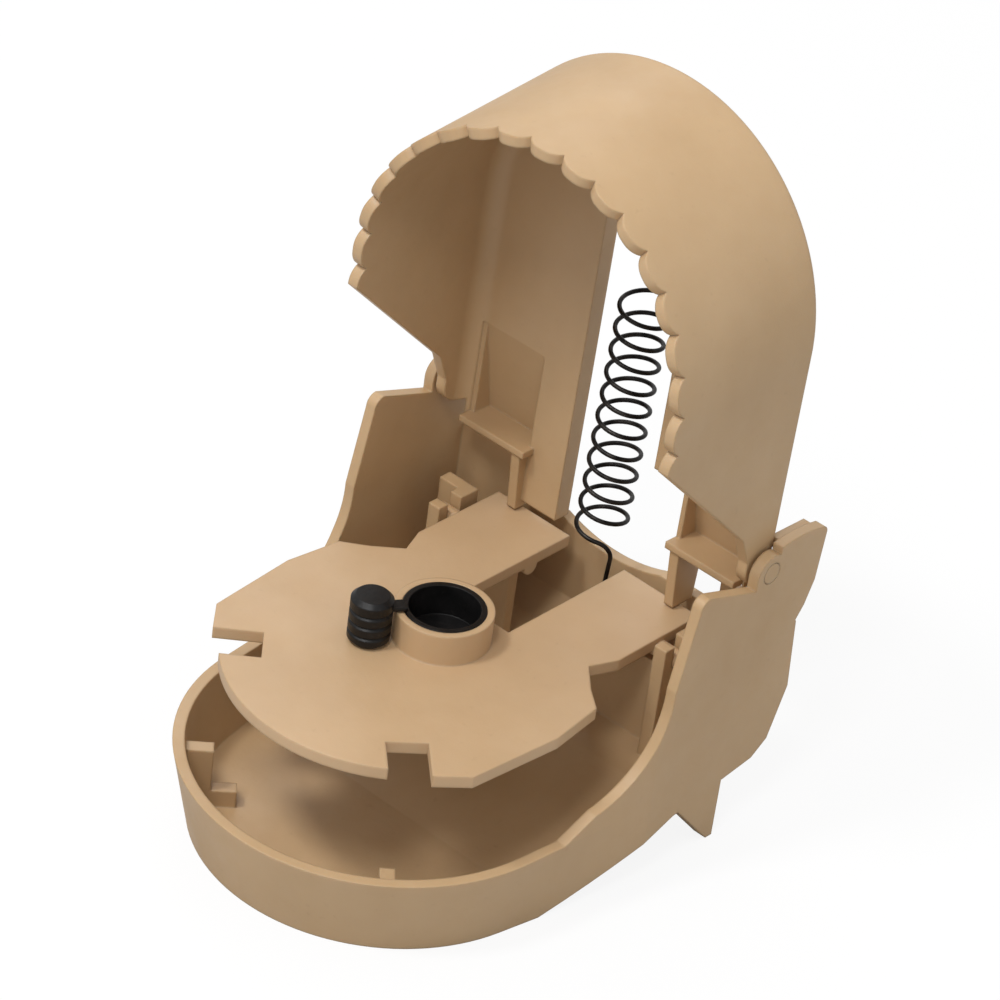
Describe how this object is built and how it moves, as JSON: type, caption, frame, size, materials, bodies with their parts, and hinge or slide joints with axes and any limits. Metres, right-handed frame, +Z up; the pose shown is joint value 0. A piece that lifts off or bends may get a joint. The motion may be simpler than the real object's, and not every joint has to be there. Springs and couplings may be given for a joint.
{
  "type": "snap mouse trap",
  "caption": "Snap trap for mice: boat-shaped tray, toothed hood jaw on side pivots, tilting treadle with a bait pot and tethered cap, and one tension spring.",
  "frame": {"origin": "on the table, under the middle of the whole trap", "axes": "+Z up from the table, +Y towards the spring end of the trap, +X across it, to the right when seen from the round front"},
  "size_m": [0.048, 0.0604, 0.0806],
  "materials": {
    "tray_plastic": "satin moulded polystyrene, warm brown",
    "jaw_plastic": "satin moulded polystyrene, warm brown",
    "treadle_plastic": "satin moulded polystyrene, warm brown",
    "bait_plastic": "black, lightly polished",
    "cap_plastic": "black, lightly polished",
    "spring_steel": "dark drawn spring wire"
  },
  "bodies": {
    "base": {"base_tray": "tray_plastic"},
    "jaw": {"jaw": "jaw_plastic"},
    "treadle": {"treadle": "treadle_plastic", "bait_pot": "bait_plastic"},
    "cap": {"bait_cap": "cap_plastic"},
    "spring": {"main_spring": "spring_steel"}
  },
  "joints": [
    {"name": "jaw_hinge", "type": "hinge", "parent": "base", "child": "jaw", "pos_m": [0, 0.02165, 0.0334], "axis": [1, 0, 0], "range_deg": [0, 93]},
    {"name": "treadle_tilt", "type": "hinge", "parent": "base", "child": "treadle", "pos_m": [0, 0.01725, 0.0203], "axis": [1, 0, 0], "range_deg": [0, 17.5]},
    {"name": "cap_flip", "type": "hinge", "parent": "treadle", "child": "cap", "pos_m": [-0.00238, -0.00477, 0.02595], "axis": [-0.8281, 0.5606, 0], "range_deg": [0, 180]},
    {"name": "spring_swing", "type": "hinge", "parent": "base", "child": "spring", "pos_m": [0.0018, 0.02105, 0.011], "axis": [1, 0, 0], "range_deg": [0, 48.8], "deforming": ["main_spring"]}
  ],
  "couplings": [
    {"joint": "treadle_tilt", "follows": "jaw_hinge", "ratio": 0.188},
    {"joint": "spring_swing", "follows": "jaw_hinge", "ratio": 0.5242}
  ]
}
